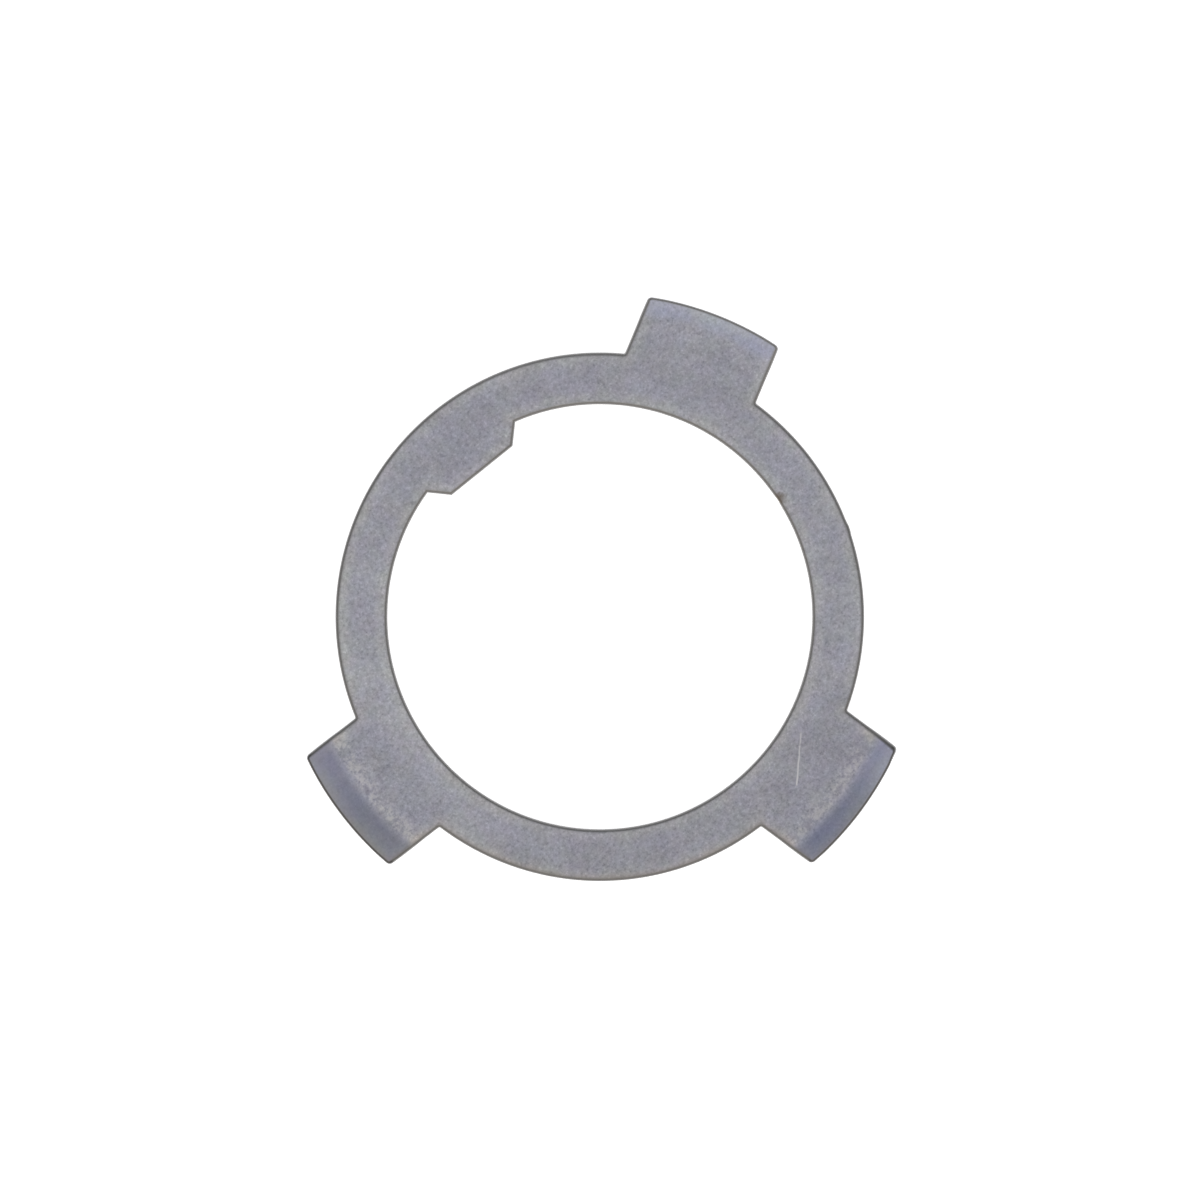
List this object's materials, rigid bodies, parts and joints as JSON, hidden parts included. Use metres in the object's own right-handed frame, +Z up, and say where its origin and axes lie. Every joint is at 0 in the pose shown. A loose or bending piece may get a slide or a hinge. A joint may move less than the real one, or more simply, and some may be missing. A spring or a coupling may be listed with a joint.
{
  "type": "tab washer",
  "caption": "Flat stamped steel locking washer: a ring with an inner key for a grooved spindle and outer tabs with turned-up ends that fold against the flats of a nut.",
  "frame": {"origin": "centre of the bore on the underside of the ring", "axes": "+Z up along the bore's axis, on the side that the tabs' ends turn to; +Y from the bore's axis towards the key"},
  "size_m": [0.1053, 0.0978, 0.0025],
  "materials": {
    "steel": "tumbled grey sheet steel with a fine mottled grain and darker sheared edges"
  },
  "bodies": {
    "root": {"tab_washer": "steel"}
  },
  "joints": []
}
